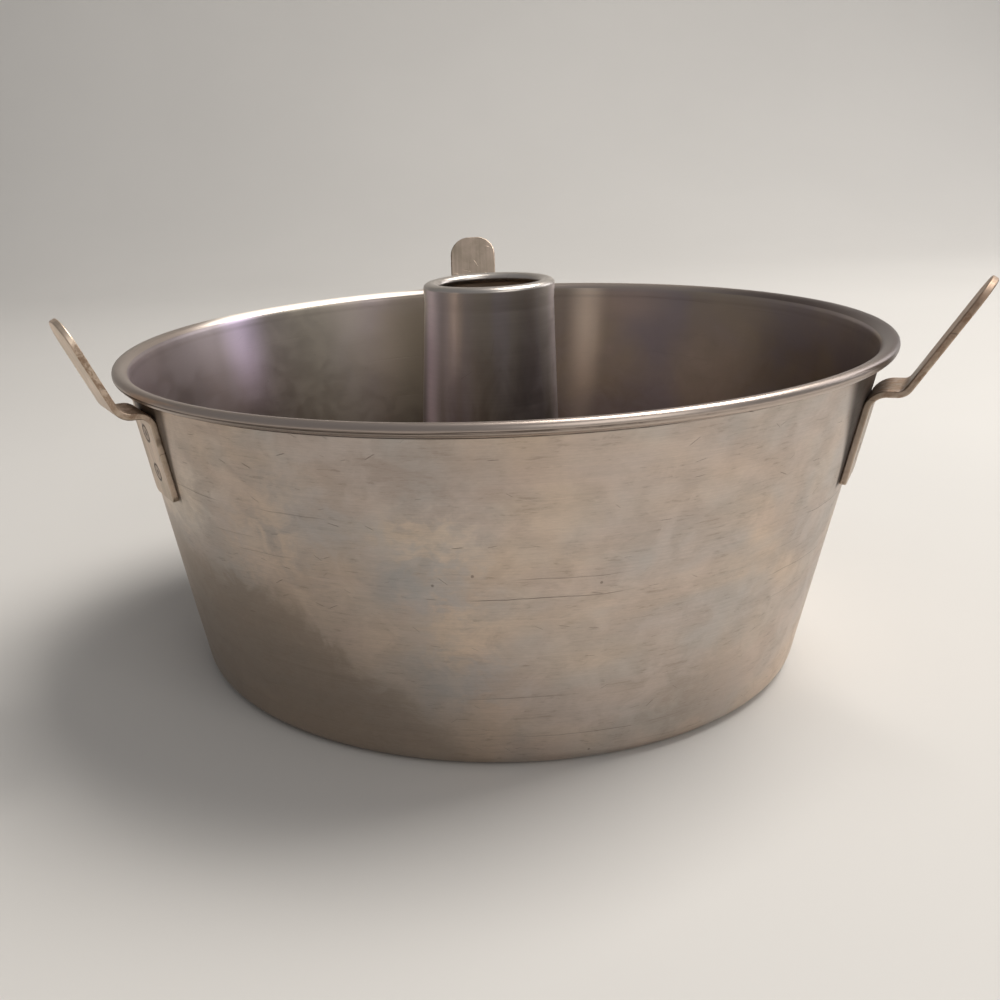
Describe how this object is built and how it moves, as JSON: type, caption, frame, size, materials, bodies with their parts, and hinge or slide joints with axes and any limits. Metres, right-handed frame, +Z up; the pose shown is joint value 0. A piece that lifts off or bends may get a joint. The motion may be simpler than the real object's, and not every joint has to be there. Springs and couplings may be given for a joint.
{
  "type": "angel food cake pan",
  "caption": "Tapered round aluminium cake pan with a rolled rim, a lift-out floor with a tall centre tube, and bent strap feet for cooling the cake upside down.",
  "frame": {"origin": "on the axis of the pan, level with the underside of the base", "axes": "+Z up along the axis of the pan, +Y towards the back foot, +X to the right of someone facing the back foot"},
  "size_m": [0.2746, 0.2864, 0.1342],
  "materials": {
    "shell_aluminium": "satin spun sheet, worn and stained",
    "insert_aluminium": "smooth spun sheet, darkened by use",
    "strap_aluminium": "satin strip with brown tarnish on its sheared edges",
    "rivet_aluminium": "worn, set flush outside"
  },
  "bodies": {
    "pan": {"pan_shell": "shell_aluminium", "foot_left": "strap_aluminium", "foot_right": "strap_aluminium", "foot_back": "strap_aluminium", "rivet_left_upper": "rivet_aluminium", "rivet_left_lower": "rivet_aluminium", "rivet_right_upper": "rivet_aluminium", "rivet_right_lower": "rivet_aluminium", "rivet_back_upper": "rivet_aluminium", "rivet_back_lower": "rivet_aluminium"},
    "insert": {"base_disc": "insert_aluminium", "centre_tube": "insert_aluminium"}
  },
  "joints": [
    {"name": "insert_lift", "type": "slide", "parent": "pan", "child": "insert", "axis": [0, 0, 1], "range_m": [0, 0.16]}
  ]
}
